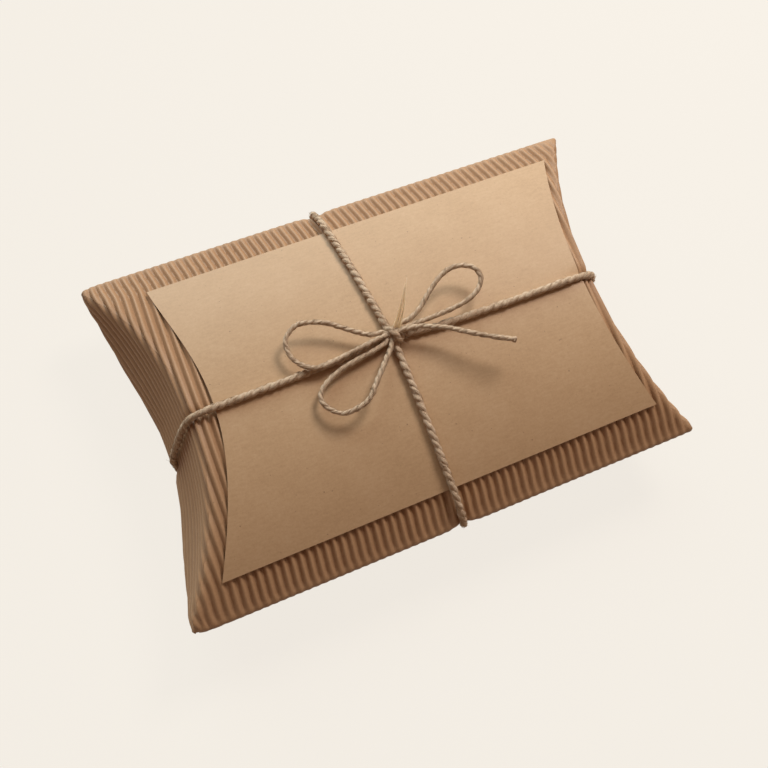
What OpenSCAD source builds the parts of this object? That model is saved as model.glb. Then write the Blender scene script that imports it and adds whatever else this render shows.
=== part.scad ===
// Pillow-shaped favor box of single-face corrugated board, tied with twine.
// The two bowed panels meet along the long side edges.
// Each end closes with an outer flap over a shorter inner flap.
// +X runs along the box, +Z is up, and the underside of the twine rests on z = 0.

/* [Box] */

// Length between the corner points, mm
body_l = 156; // [120:1:220]

// Width of the board between the side edges, mm
body_w = 103; // [70:1:150]

// Height of each panel's bow above the side edges, mm
rise = 14; // [8:0.5:24]

// How far the left upper crease reaches inwards, as a multiple of the rise
left_reach = 1.45; // [0.8:0.05:1.6]

// How far the right upper crease reaches inwards, as a multiple of the rise
right_reach = 1; // [0.8:0.05:1.6]

/* [Corrugated board] */

// Thickness of the flat liner, mm
liner_t = 0.4; // [0.3:0.05:0.8]

// Height of the flutes above the liner, mm
flute_h = 1.2; // [0.8:0.1:2]

// Distance from one flute to the next, mm
flute_pitch = 2.5; // [2:0.1:5]

// Thickness of the fluted sheet, mm
medium_t = 0.25; // [0.2:0.05:0.4]

// How far the board reaches past the side creases, mm
edge_reach = 0.7; // [0.4:0.1:1.2]

/* [Flaps] */

// Free space between the outer flap and the inner flap, mm
flap_gap = 0.3; // [0.3:0.1:1]

// Height of the inner flap, as a share of the end's height
inner_share = 0.46; // [0.3:0.01:0.48]

/* [Glue tab] */

// Width of the glue tab along the far side, mm
tab_w = 12; // [8:1:18]

// Thickness of the pressed glue tab, mm
tab_t = 0.8; // [0.6:0.1:1.4]

// Thickness of the glue, mm
glue_t = 0.1; // [0.05:0.05:0.3]

// Distance of the glue tab from the corner points, mm
tab_inset = 14; // [8:1:30]

/* [Label sheet] */

// Thickness of the label sheet, mm
label_t = 0.3; // [0.2:0.05:0.5]

// Width of the label sheet across the box, mm
label_w = 86.6; // [50:0.2:96]

// Left corners of the label from the left corner points, mm
label_left = 14.8; // [10:0.2:40]

// Right corners of the label from the right corner points, mm
label_right = 9; // [6:0.2:40]

// Depth of the hollow in the label's left edge, mm
label_left_dip = 12; // [4:0.2:16]

// Shift of the left hollow towards the far edge, mm
label_left_shift = 3.5; // [0:0.5:8]

// Depth of the hollow in the label's right edge, mm
label_right_dip = 7.6; // [4:0.2:16]

/* [Twine] */

// Thickness of the twine where it is drawn tight, mm
twine_d = 2.2; // [1.6:0.1:3]

// Thickness of the twine in the bow, mm
bow_d = 1.5; // [1.2:0.1:2.4]

// Position of the lengthwise twine across the box, mm
lash_y = 1; // [-6:0.5:6]

// Position of the knot along the box, mm
knot_x = 3.5; // [-10:0.5:10]

// Position of the crosswise twine at the far edge, mm
far_x = -2.5; // [-10:0.5:10]

// Position of the crosswise twine at the near edge, mm
near_x = 3; // [-10:0.5:10]

// Radius of the wrap in the knot, mm
knot_r = 2; // [1.6:0.1:3]

/* [Hidden] */

$fn = 96;
liner_color = [0.72, 0.54, 0.36];
flute_color = [0.66, 0.48, 0.31];
label_color = [0.76, 0.59, 0.41];
glue_color = [0.87, 0.8, 0.62];
twine_color = [0.62, 0.47, 0.31];

twine_r = twine_d / 2;
bow_r = bow_d / 2;
half_l = body_l / 2;
half_w = body_w / 2;
board_t = liner_t + flute_h;
skin = 0.02;

// Circle that each panel and each flap follows, and the height of its centre.
bow_radius = (half_w * half_w + rise * rise) / (2 * rise);
bow_drop = bow_radius - rise;
half_sweep = asin((half_w + edge_reach + flute_h) / bow_radius);

// Twine runs outside the flutes; on top it also clears the label.
low_off = flute_h + skin + twine_r;
top_off = flute_h + glue_t + label_t + 4 * skin + twine_r;
mid_z = rise + low_off + twine_r + twine_d + skin;
reach_z = rise + flute_h + twine_d;

// Where the creases end, measured at the middle of the box.
stack = board_t + flap_gap;
left_crest = half_l - left_reach * rise;
right_crest = half_l - right_reach * rise;
left_toe = half_l - rise / left_reach;
right_toe = half_l - rise / right_reach;

// Rise of a panel over its own side edges at a distance y from the middle.
function bow(y) = sqrt(bow_radius * bow_radius - y * y) - bow_drop;
// Lean of a flap out of the vertical, and the same angle's sine and cosine.
function lean_cos(k) = 2 * k / (1 + k * k);
function lean_sin(k) = (k * k - 1) / (1 + k * k);
function lean(k) = atan2(k * k - 1, 2 * k);
// Distance of a flap's plane of corners from the middle of the box.
function face_n(k) = k * body_l / (1 + k * k);

// Set-backs at the creases, at the twine's bends and round the knot.
crease_cut = 0.3;
flute_cut = 0.9;
bend_cut = 0.3;
bend_gap = 1.6;
knot_clear = 3.4;
knot_lift = 0.4;
glue_inset = 3;
tab_side = 3;
tab_lift = 0.5;

// Heights of the label's top face and of the twine drawn over it.
label_z = mid_z + rise + top_off - twine_r - skin;
lash_z = mid_z + rise + top_off;

// Twine under the box: how it steps over the other strand, and how rings are spaced.
step_h = twine_d + skin;
step_w = 9;
side_step = 8;
end_turn = 81;
over_steps = 15;
turn_steps = 4;

// Routes of the bow, measured from the middle of the knot.
left_loop = [[-3.2, 2.7, 1.8], [-6.7, 3.4, 2.4], [-11.5, 6.7, 2.8], [-16.8, 10.7, 3.2], [-21.7, 12.7, 3.4],
  [-25, 13.2, 3.3], [-27.9, 11.9, 3.1], [-29.5, 10.2, 2.8], [-30, 7.8, 2.5], [-29.6, 4.8, 2.3],
  [-28, 2.3, 2.1], [-26, 0.6, 2], [-23.6, -0.4, 1.9], [-20, -0.5, 1.9], [-15, -0.1, 1.9],
  [-8, 0.5, 2.2], [-3.9, 0.6, 2.2]];
near_loop = [[-1.9, -3.2, 1.6], [-5.3, -5.6, 2.6], [-7.6, -8, 3.1], [-10, -10.6, 3.3], [-12.1, -13.1, 3.1],
  [-14.8, -14.9, 2.8], [-18.5, -15.6, 2.3], [-22, -15.2, 1.9], [-24.7, -12.8, 1.7], [-26, -9.9, 1.5],
  [-25.3, -7.4, 1.4], [-22.7, -5.2, 1.3], [-19.3, -3.6, 1.3], [-15.3, -2.6, 1.3], [-8, -1.9, 1.2],
  [-3.8, -1.6, 1.2]];
right_loop = [[2.8, 2.9, 2], [5.6, 3.6, 2.6], [9, 5.4, 3], [12.2, 8, 3.3], [15.7, 10.8, 3.6],
  [19.3, 12.9, 3.9], [23, 13.7, 4.2], [26.3, 12.8, 4.5], [28.4, 11, 4.8], [29.1, 8.4, 4.8],
  [28.3, 6.4, 4.6], [26.2, 4.3, 4.3], [22.7, 2.9, 3.7], [18.6, 2.3, 3.1], [14.1, 2, 2.7],
  [8.2, 1.6, 2.4], [4.3, 1, 2.2]];
long_tail = [[3.7, -1.6, 1.8], [7.2, -1.2, 3.2], [10.9, -2.2, 4.8], [14.7, -4.1, 6.2], [18.1, -6.7, 7.3],
  [21.5, -9.2, 8.1], [25.1, -11.6, 8.7], [28.8, -13.6, 9.1], [30.3, -14.5, 9.2]];
short_tail = [[-0.3, 1.6, 2.8], [0.4, 2.6, 4.1], [1.9, 4, 5.4], [3.3, 5.6, 7.6], [4.8, 7.6, 10],
  [6.4, 9.8, 12.4]];

// Tube swept along a route: a ring of points round each route point.
function cross3(a, b) = [a[1] * b[2] - a[2] * b[1], a[2] * b[0] - a[0] * b[2], a[0] * b[1] - a[1] * b[0]];
function unit(v) = v / max(norm(v), 0.000001);
function heading(p, i) = unit(p[min(i + 1, len(p) - 1)] - p[max(i - 1, 0)]);
function side_of(t) = abs(t[2]) > 0.9 ? unit(cross3([1, 0, 0], t)) : unit(cross3([0, 0, 1], t));
function keep_flat(v, t) = unit(v - t * (v * t));
function carry_all(p) = [for (i = 0, s = side_of(heading(p, 0)); i < len(p); i = i + 1,
  s = i < len(p) ? keep_flat(s, heading(p, i)) : s) s];
function ring(c, t, s, r, n) = [for (j = [0:n - 1]) c + r * (cos(360 * j / n) * s + sin(360 * j / n) * cross3(t, s))];

module tube(p, r, n = 8) {
  sides = carry_all(p);
  pts = [for (i = [0:len(p) - 1]) each ring(p[i], heading(p, i), sides[i], r, n)];
  last = (len(p) - 1) * n;
  walls = [for (i = [0:len(p) - 2]) for (j = [0:n - 1])
    [(i + 1) * n + j, (i + 1) * n + (j + 1) % n, i * n + (j + 1) % n, i * n + j]];
  caps = [[for (j = [0:n - 1]) j], [for (j = [n - 1:-1:0]) last + j]];
  polyhedron(points = pts, faces = concat(walls, caps));
}

// Smooth curve through hand-placed route points, n steps to a stretch.
function spline_at(p, i, t) =
  let (a = p[max(i - 1, 0)], b = p[i], c = p[i + 1], d = p[min(i + 2, len(p) - 1)])
  0.5 * (2 * b + (c - a) * t + (2 * a - 5 * b + 4 * c - d) * t * t + (3 * b - a - 3 * c + d) * t * t * t);
function smooth(p, n) = [for (i = [0:len(p) - 2]) for (j = [0:n - 1]) spline_at(p, i, j / n), p[len(p) - 1]];

// Carries a shape drawn round the Z axis to one turned about a line along the box.
module along_box() {
  translate([0, 0, mid_z - bow_drop]) rotate([0, -90, 180]) rotate([0, 0, -half_sweep]) children();
}

// Carries a shape drawn for the upper panel to the lower one.
module lower_side() {
  translate([0, 0, mid_z]) mirror([0, 0, 1]) translate([0, 0, -mid_z]) children();
}

// Space that a panel may fill: below its end creases, above its side edges.
module panel_room(l_reach, r_reach, inset_l, inset_r) {
  l0 = half_l - inset_l;
  r0 = half_l - inset_r;
  translate([0, half_w + edge_reach, mid_z]) rotate([90, 0, 0]) linear_extrude(2 * (half_w + edge_reach))
    polygon([[-l0, skin], [r0, skin], [r0 - r_reach * reach_z, reach_z], [-l0 + l_reach * reach_z, reach_z]]);
}

// Arched flutes on a thin web, in the plane of the turn; up is +1 or -1.
module flute_profile(low, high, up) {
  first = ceil(low / flute_pitch);
  last = floor(high / flute_pitch);
  intersection() {
    union() {
      translate([bow_radius - medium_t, low]) square([2 * medium_t, high - low]);
      for (i = [first:last]) translate([bow_radius, i * flute_pitch])
        difference() {
          circle(r = flute_h);
          circle(r = flute_h - medium_t);
        }
    }
    translate([up > 0 ? bow_radius + skin : bow_radius - reach_z, low])
      square([reach_z - skin, high - low]);
  }
}

module panel_liner(room_l, room_r, inset_l, inset_r, shift_l, shift_r) {
  difference() {
    intersection() {
      along_box() rotate_extrude(angle = 2 * half_sweep)
        translate([bow_radius - liner_t, -half_l]) square([liner_t, body_l]);
      panel_room(room_l, room_r, inset_l, inset_r);
    }
    flap_space(-1, left_reach, shift_l);
    flap_space(1, right_reach, shift_r);
  }
}

module panel_flutes(room_l, room_r, inset_l, inset_r) {
  intersection() {
    along_box() rotate_extrude(angle = 2 * half_sweep) flute_profile(-half_l, half_l, 1);
    panel_room(room_l, room_r, inset_l, inset_r);
  }
}

// Carries a shape drawn for the right end to the end on the given side.
module at_end(side) {
  if (side > 0) children();
  else mirror([1, 0, 0]) children();
}

// Frame of an end flap: x points out of the box, z runs up the flap.
module flap_frame(side, k) {
  at_end(side) translate([0, 0, mid_z]) rotate([0, -lean(k), 0]) children();
}

// Everything on a flap's outer side, with the running gap; panels end against it.
module flap_space(side, k, shift) {
  flap_frame(side, k) translate([face_n(k) - shift + bow_drop, 0, -body_l / 2])
    cylinder(r = bow_radius + liner_t + flap_gap, h = body_l);
}

// Wedge between two creases: low and high are slopes from the line of the corners.
module flap_room(side, k, shift, low, high, low_cut, high_cut) {
  corner_z = -lean_sin(k) * (half_l - shift / lean_cos(k));
  tip = (low_cut + high_cut) / (low + high);
  tip_n = face_n(k) - shift;
  flap_frame(side, k) translate([0, half_w + edge_reach, 0]) rotate([90, 0, 0])
    linear_extrude(2 * (half_w + edge_reach))
      polygon([
        [tip_n - tip, corner_z + low_cut - low * tip],
        [tip_n - reach_z, corner_z - high_cut + high * reach_z],
        [tip_n - reach_z, corner_z + low_cut - low * reach_z]]);
}

// Turns a profile about the upright line that the flap curves round.
module flap_turn(side, k, shift) {
  flap_frame(side, k) translate([face_n(k) - shift + bow_drop, 0, 0])
    rotate([0, 0, 180 - half_sweep]) rotate_extrude(angle = 2 * half_sweep) children();
}

module outer_flap_room(side, k) {
  flap_room(side, k, 0, 1 / k, k, crease_cut, crease_cut);
}

module inner_flap_room(side, k) {
  flap_room(side, k, stack, 1 / k, inner_share * (k + 1 / k) - 1 / k, crease_cut, 0);
}

module outer_flap_liner(side, k) {
  intersection() {
    flap_turn(side, k, 0) translate([bow_radius, -half_l]) square([liner_t, body_l]);
    outer_flap_room(side, k);
  }
}

module outer_flap_flutes(side, k) {
  intersection() {
    flap_turn(side, k, 0) translate([0, half_l * (1 - lean_sin(k))])
      flute_profile(-half_l - rise / k - flute_pitch, -half_l + k * rise + flute_pitch, -1);
    outer_flap_room(side, k);
  }
}

module inner_flap_liner(side, k) {
  intersection() {
    flap_turn(side, k, stack) translate([bow_radius, -half_l]) square([liner_t, body_l]);
    inner_flap_room(side, k);
  }
}

module inner_flap_flutes(side, k) {
  corner = half_l - stack / lean_cos(k);
  intersection() {
    flap_turn(side, k, stack) translate([0, -corner * (1 + lean_sin(k))])
      flute_profile(corner - rise / k - flute_pitch, corner + k * rise, -1);
    inner_flap_room(side, k);
  }
}

// Radius of a circle that hollows an edge of width w to the given depth.
function dip_radius(w, dip) = (w * w / 4 + dip * dip) / (2 * dip);

// Thin sheet on the upper panel with hollowed ends; start is measured out from the board.
module sheet_on_top(start, t, inset) {
  w = label_w - 2 * inset;
  low = -half_l + label_left + inset;
  high = half_l - label_right - inset;
  left_r = dip_radius(w, label_left_dip);
  right_r = dip_radius(w, label_right_dip);
  difference() {
    intersection() {
      along_box() rotate_extrude(angle = 2 * half_sweep)
        translate([bow_radius + start, -half_l]) square([t, body_l]);
      translate([low - label_left_shift, -w / 2, mid_z]) cube([high - low + label_left_shift, w, reach_z]);
    }
    translate([low + label_left_dip - left_r, label_left_shift, mid_z]) cylinder(r = left_r, h = reach_z);
    translate([high - label_right_dip + right_r, 0, mid_z]) cylinder(r = right_r, h = reach_z);
  }
}

// Part of a sheet inside the upper panel, along the far side.
module tab_sheet(start, t, trim) {
  intersection() {
    along_box() rotate_extrude(angle = 2 * half_sweep)
      translate([bow_radius - start - t, -half_l]) square([t, body_l]);
    translate([-half_l + tab_inset + trim, half_w - tab_side - tab_w + trim, mid_z + tab_lift])
      cube([body_l - 2 * tab_inset - 2 * trim, tab_w - 2 * trim, rise]);
  }
}

module top_liner() {
  color(liner_color) panel_liner(left_reach, right_reach, crease_cut, crease_cut, 0, 0);
}

module top_flutes() {
  color(flute_color) panel_flutes(left_reach, right_reach, flute_cut, flute_cut);
}

module bottom_liner() {
  color(liner_color) lower_side()
    panel_liner(1 / left_reach, 1 / right_reach, stack / lean_cos(left_reach) + crease_cut,
      stack / lean_cos(right_reach) + crease_cut, stack, stack);
}

module bottom_flutes() {
  color(flute_color) lower_side()
    panel_flutes(1 / left_reach, 1 / right_reach, stack / lean_cos(left_reach) + flute_cut,
      stack / lean_cos(right_reach) + flute_cut);
}

module glue_tab() {
  color(liner_color) tab_sheet(liner_t + glue_t + 2 * skin, tab_t, 0);
}

module tab_glue() {
  color(glue_color) tab_sheet(liner_t + skin, glue_t, tab_side);
}

module left_outer_flap_liner() {
  color(liner_color) outer_flap_liner(-1, left_reach);
}

module left_outer_flap_flutes() {
  color(flute_color) outer_flap_flutes(-1, left_reach);
}

module left_inner_flap_liner() {
  color(liner_color) inner_flap_liner(-1, left_reach);
}

module left_inner_flap_flutes() {
  color(flute_color) inner_flap_flutes(-1, left_reach);
}

module right_outer_flap_liner() {
  color(liner_color) outer_flap_liner(1, right_reach);
}

module right_outer_flap_flutes() {
  color(flute_color) outer_flap_flutes(1, right_reach);
}

module right_inner_flap_liner() {
  color(liner_color) inner_flap_liner(1, right_reach);
}

module right_inner_flap_flutes() {
  color(flute_color) inner_flap_flutes(1, right_reach);
}

module label_sheet() {
  color(label_color) sheet_on_top(flute_h + glue_t + 2 * skin, label_t, 0);
}

module label_glue() {
  color(glue_color) sheet_on_top(flute_h + skin, glue_t, glue_inset);
}

// Straight twine along the box, from one x to another, at height z.
module rod(x0, x1, z) {
  translate([x0, lash_y, z]) rotate([0, 90, 0]) cylinder(r = twine_r, h = x1 - x0);
}

module twine_top_left() {
  color(twine_color) rod(-left_crest + bend_cut, knot_x - knot_clear, lash_z);
}

module twine_top_right() {
  color(twine_color) rod(knot_x + knot_clear, right_crest - bend_cut, lash_z);
}

module twine_bottom_long() {
  color(twine_color) rod(-left_toe + bend_cut, right_toe - bend_cut, mid_z - rise - low_off);
}

// Twine down a flap and round its foot, drawn in the flap's own frame.
module end_twine(side, k) {
  corner_z = -lean_sin(k) * half_l;
  n = face_n(k) - rise;
  foot = corner_z - rise / k;
  top = corner_z + k * rise - bend_gap;
  flap_frame(side, k)
    tube(concat(
      [for (i = [0:3]) [n + low_off, lash_y, top + (foot - top) * i / 4]],
      [for (a = [0:15:75]) [n + low_off * cos(a), lash_y, foot - low_off * sin(a)]],
      [[n + low_off * cos(90 + lean(k)), lash_y, foot - low_off * sin(90 + lean(k))]]), twine_r);
}

module twine_left_end() {
  color(twine_color) end_twine(-1, left_reach);
}

module twine_right_end() {
  color(twine_color) end_twine(1, right_reach);
}

// Route over the upper panel and round one side edge, from the knot to mid height.
edge_turn = asin(half_w / bow_radius);
top_r = bow_radius + top_off;
function edge_off(t) = top_off + (low_off - top_off) * t;
function over_route(dir, x_edge) =
  let (a0 = asin((lash_y + dir * knot_clear) / top_r), a1 = dir * edge_turn)
  concat(
    [for (i = [0:over_steps]) let (a = a0 + (a1 - a0) * i / over_steps)
      [knot_x + (x_edge - knot_x) * (top_r * sin(a) - lash_y) / (top_r * sin(a1) - lash_y),
        top_r * sin(a), mid_z - bow_drop + top_r * cos(a)]],
    [for (i = [1:turn_steps]) let (b = edge_turn + (90 - edge_turn) * i / turn_steps, o = edge_off(i / turn_steps))
      [x_edge, dir * (half_w + o * sin(b)), mid_z + o * cos(b)]]);

module twine_top_far() {
  color(twine_color) tube(over_route(1, far_x), twine_r);
}

module twine_top_near() {
  color(twine_color) tube(over_route(-1, near_x), twine_r);
}

// Route under the box; it steps over the lengthwise twine where the two cross.
function step_over(y) = abs(y - lash_y) < step_w ? step_h * (1 + cos(180 * (y - lash_y) / step_w)) / 2 : 0;
function under_x(y) = near_x + (far_x - near_x) * (y + half_w) / (2 * half_w);
function under_pt(y) =
  let (a = asin(y / (bow_radius + low_off)))
  [under_x(y), y, mid_z + bow_drop - (bow_radius + low_off) * cos(a) - step_over(y)];
under_ys = concat([for (i = [0:5]) -half_w - low_off * sin(edge_turn) + i * side_step],
  [for (i = [-4:4]) lash_y + i * step_w / 4],
  [for (i = [5:-1:0]) half_w + low_off * sin(edge_turn) - i * side_step]);
under_route = concat(
  [for (b = [end_turn, 70, 50]) [near_x, -half_w - low_off * sin(b), mid_z - low_off * cos(b)]],
  [for (y = under_ys) under_pt(y)],
  [for (b = [50, 70, end_turn]) [far_x, half_w + low_off * sin(b), mid_z - low_off * cos(b)]]);

module twine_bottom_cross() {
  color(twine_color) tube(under_route, twine_r);
}

// Wraps of the knot over a core, flat where they press on the label.
module bow_knot() {
  color(twine_color) translate([knot_x, lash_y, lash_z]) intersection() {
    union() {
      translate([0, 0, knot_lift]) rotate([0, 90, 20]) rotate_extrude() translate([knot_r, 0]) circle(r = bow_r);
      translate([0, 0, knot_lift]) rotate([70, 0, -30]) rotate_extrude() translate([knot_r, 0]) circle(r = bow_r);
      sphere(r = knot_r);
    }
    translate([-knot_clear, -knot_clear, label_z - lash_z]) cube([2 * knot_clear, 2 * knot_clear, 4 * knot_r]);
  }
}

// Free twine of the bow along a route measured from the knot.
module bow_twine(route, n) {
  color(twine_color) translate([knot_x, lash_y, lash_z]) tube(smooth(route, n), bow_r);
}

module bow_loop_left() {
  bow_twine(left_loop, 2);
}

module bow_loop_near() {
  bow_twine(near_loop, 2);
}

module bow_loop_right() {
  bow_twine(right_loop, 2);
}

module bow_tail_long() {
  bow_twine(long_tail, 2);
}

module bow_tail_short() {
  bow_twine(short_tail, 2);
}

top_liner();
top_flutes();
bottom_liner();
bottom_flutes();
glue_tab();
tab_glue();
left_outer_flap_liner();
left_outer_flap_flutes();
left_inner_flap_liner();
left_inner_flap_flutes();
right_outer_flap_liner();
right_outer_flap_flutes();
right_inner_flap_liner();
right_inner_flap_flutes();
label_sheet();
label_glue();
twine_top_left();
twine_top_right();
twine_bottom_long();
twine_left_end();
twine_right_end();
twine_top_far();
twine_top_near();
twine_bottom_cross();
bow_knot();
bow_loop_left();
bow_loop_near();
bow_loop_right();
bow_tail_long();
bow_tail_short();
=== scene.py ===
import math
import random

import bpy
import numpy as np
from mathutils import Matrix, Vector


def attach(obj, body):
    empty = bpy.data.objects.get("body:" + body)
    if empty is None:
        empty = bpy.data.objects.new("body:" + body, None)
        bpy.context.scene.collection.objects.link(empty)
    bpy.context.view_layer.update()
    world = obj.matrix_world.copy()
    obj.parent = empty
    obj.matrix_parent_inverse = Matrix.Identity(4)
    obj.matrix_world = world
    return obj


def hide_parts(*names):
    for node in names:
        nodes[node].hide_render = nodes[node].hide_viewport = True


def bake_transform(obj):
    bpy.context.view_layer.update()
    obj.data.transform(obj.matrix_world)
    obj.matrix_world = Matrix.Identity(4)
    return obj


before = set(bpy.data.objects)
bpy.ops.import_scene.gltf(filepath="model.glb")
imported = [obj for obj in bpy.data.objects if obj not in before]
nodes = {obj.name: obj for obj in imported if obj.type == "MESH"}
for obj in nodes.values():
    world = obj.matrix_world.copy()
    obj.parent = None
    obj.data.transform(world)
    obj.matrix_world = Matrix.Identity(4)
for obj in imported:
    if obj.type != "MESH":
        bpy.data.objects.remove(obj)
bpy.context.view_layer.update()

mm = 0.001

# ---------------------------------------------------------------- camera
# The camera looks down from above the near left side of the box and is turned a little on its own axis, so that
# the box fills the picture. Its place, angles and lens were fitted to the corners of the box.
view_az, view_el, view_roll = math.radians(-25.917), math.radians(72.334), math.radians(4.964)
view_dist, near_clip = 0.359476, 0.01
picture_px, focal_px, shift_px, sensor_mm = 768, 1209.27, (-0.58, -16.888), 36
mid_z = 0.01964

back = Vector((math.sin(view_az) * math.cos(view_el), -math.cos(view_az) * math.cos(view_el), math.sin(view_el)))
side_way = (-back).cross(Vector((0, 0, 1))).normalized()
up_way = side_way.cross(-back).normalized()
right_way = side_way * math.cos(view_roll) + up_way * math.sin(view_roll)
top_way = up_way * math.cos(view_roll) - side_way * math.sin(view_roll)
bpy.ops.object.camera_add(location=Vector((0, 0, mid_z)) + back * view_dist)
camera = bpy.context.object
camera.name = "camera"
camera.rotation_euler = Matrix((right_way, top_way, back)).transposed().to_euler()
camera.data.sensor_width = sensor_mm
camera.data.lens = sensor_mm * focal_px / picture_px
camera.data.shift_x, camera.data.shift_y = (shift / picture_px for shift in shift_px)
camera.data.clip_start = near_clip
bpy.context.scene.camera = camera

# ---------------------------------------------------------------- board finish
# Single-face corrugated kraft board: a flat brown liner with a fluted sheet glued on its outside.
# The paper is unbleached, so it has pale and dark fibres and soft, cloudy changes of tone.


class Value:
    """A number or colour that varies over a surface."""

    def __init__(self, finish, socket):
        self.finish = finish
        self.socket = socket

    def _maths(self, operation, first, second):
        return self.finish.add("ShaderNodeMath", {"operation": operation}, {0: first, 1: second})

    def __add__(self, other):
        return self._maths("ADD", self, other)

    def __radd__(self, other):
        return self._maths("ADD", other, self)

    def __sub__(self, other):
        return self._maths("SUBTRACT", self, other)

    def __rsub__(self, other):
        return self._maths("SUBTRACT", other, self)

    def __mul__(self, other):
        return self._maths("MULTIPLY", self, other)

    def __rmul__(self, other):
        return self._maths("MULTIPLY", other, self)

    def limited(self):
        return self.finish.add("ShaderNodeClamp", {}, {0: self})


class Finish:
    """One material, built node by node."""

    def __init__(self, name):
        self.material = bpy.data.materials.new(name)
        self.material.use_nodes = True
        self.tree = self.material.node_tree
        self.surface = self.tree.nodes["Principled BSDF"]
        self.output = self.tree.nodes["Material Output"]

    def put(self, node, values):
        for key, value in values.items():
            socket = node.inputs[key]
            if isinstance(value, Value):
                self.tree.links.new(value.socket, socket)
            else:
                socket.default_value = value

    def add(self, kind, settings, values, out=0):
        node = self.tree.nodes.new(kind)
        for key, value in settings.items():
            setattr(node, key, value)
        self.put(node, values)
        return Value(self, node.outputs[out])

    def place(self):
        """Where a point lies on its own piece."""
        return self.add("ShaderNodeTexCoord", {}, {}, "Object")

    def mix(self, share, first, second):
        """Blend of two colours, whose sockets this node knows by number."""
        colour_a, colour_b, result = 6, 7, 2
        return self.add("ShaderNodeMix", {"data_type": "RGBA"},
                        {"Factor": share, colour_a: first, colour_b: second}, result)

    def toned(self, tone, base, pale, dark):
        """The base colour, paler where the tone is above nought and darker where it is below."""
        reach = 1.2
        paler = self.mix((tone * reach).limited(), base, pale)
        return self.mix(((0 - tone) * reach).limited(), paler, dark)

    def noise(self, place, scale, detail=4.0, roughness=0.55, stretch=(1, 1, 1)):
        moved = self.add("ShaderNodeMapping", {}, {"Vector": place, "Scale": stretch})
        return self.add("ShaderNodeTexNoise", {}, {"Vector": moved, "Scale": scale, "Detail": detail,
                                                    "Roughness": roughness})

    def bump(self, height, strength, distance):
        return self.add("ShaderNodeBump", {}, {"Height": height, "Strength": strength, "Distance": distance})


noise_middle = 0.5
# Colour shares of the dark specks, and of the painted shade in the flute valleys.
speck_shares, valley_shade_shares = (0.4, 0.33, 0.3), (0.5, 0.46, 0.44)


def darkened(colour, shares):
    """The colour with its red, green and blue each cut to a share."""
    return (*(part * share for part, share in zip(colour, shares)), 1)


def kraft(name, base, pale, dark, rough, grain, valley_shade=0.0):
    """Kraft paper in a given tone, with cloudy tone, short fibres, rare dark specks, and painted shade in the flute
    valleys.
    """
    clouds, fibres, cross_fibres, specks = 70, 1500, 1900, 1300
    cloud_share, fibre_share, cross_share = 0.9, 1.1, 0.8
    rare, speck_edge, speck_share = 0.755, 16, 0.6
    rough_change, cloud_bump, bump_share, shine = 0.16, 0.5, 0.4, 0.4
    f = Finish(name)
    where = f.place()
    cloud = f.noise(where, clouds, 5, 0.65)
    fibre = f.noise(where, fibres, 3, 0.7, (0.35, 1.0, 1.0))
    cross_fibre = f.noise(where, cross_fibres, 3, 0.7, (1.0, 0.5, 1.0))
    speck = f.noise(where, specks, 1, 0.4)
    tone = ((cloud - noise_middle) * cloud_share + (fibre - noise_middle) * fibre_share
            + (cross_fibre - noise_middle) * cross_share)
    colour = f.toned(tone, base, pale, dark)
    dots = ((speck - rare) * speck_edge).limited()
    colour = f.mix(dots * speck_share, colour, darkened(dark, speck_shares))
    # Painted shade: the flute valleys are darkened by their depth, standing in for the shade that falls in them.
    if valley_shade:
        low = f.add("ShaderNodeAttribute", {"attribute_name": "low"}, {}, "Fac")
        colour = f.mix((low * valley_shade).limited(), colour, darkened(dark, valley_shade_shares))
    f.put(f.surface, {"Base Color": colour, "Roughness": (fibre - noise_middle) * rough_change + rough,
                      "Normal": f.bump(fibre + cross_fibre + cloud * cloud_bump, bump_share, grain)})
    f.surface.inputs["Specular IOR Level"].default_value = shine
    return f.material


board_grain = 0.04 * mm
liner_finish = kraft("kraft_liner", (0.43, 0.255, 0.14, 1), (0.50, 0.32, 0.19, 1), (0.34, 0.19, 0.095, 1),
                     0.75, board_grain)
# The flutes carry painted shade in their valleys.
flute_finish = kraft("kraft_flutes", (0.435, 0.240, 0.124, 1), (0.51, 0.30, 0.163, 1), (0.34, 0.177, 0.085, 1),
                     0.52, board_grain, valley_shade=0.44)

# ---------------------------------------------------------------- board
# One blank of single-face board: a flat liner inside and a fluted sheet outside, with the flutes running across
# the box. It bends round the long edges, and the flaps turn down along the curved creases at the ends.
# Each sheet starts as a flat grid and is bent along those creases.

box_len, half_w, rise = 156 * mm, 51.5 * mm, 14 * mm
left_reach, right_reach, inner_share = 1.45, 1.0, 0.46
bow_r = (half_w ** 2 + rise ** 2) / (2 * rise)
bow_drop = bow_r - rise
half_arc = bow_r * math.asin(half_w / bow_r)
flute_h, flute_pitch, stack, liner_t, fluted_t = 1.2 * mm, 2.5 * mm, 1.9 * mm, 0.4 * mm, 0.15 * mm
tiny, least_normal = 1e-9, 1e-12

# Where the twine lies, and how far it slips at each foot and bites into the board.
lash_y, knot_x, far_x, near_x = 1 * mm, 3 * mm, -3 * mm, 4.2 * mm
foot_slip, groove_w = {-1: 5 * mm, 1: 0.0}, 1.6 * mm
foot_bite, foot_wide, crest_bite, crest_wide, crest_way = 2 * mm, 6 * mm, 1.1 * mm, 5 * mm, (0.6, 0.8)
fold_bite, fold_wide = 1 * mm, (3.2 * mm, 3.5 * mm)

# Wear of the corner points, as end, side, depth and width, and the crumple at the near left one.
knocks = ((-1, 1, 1.5 * mm, 3.4 * mm), (1, 1, 0.25 * mm, 2.6 * mm),
          (1, -1, 0.25 * mm, 2.6 * mm), (-1, -1, 2.2 * mm, 3.8 * mm))
knock_along, knock_across = 0.8, 0.35
crumple_h, crumple_at, crumple_w, crumple_folds = 0.13 * mm, 5 * mm, 4 * mm, (0.62 * mm, 1.5 * mm)
crumple_way = np.array([0.2, -0.2, 0.95])

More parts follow.
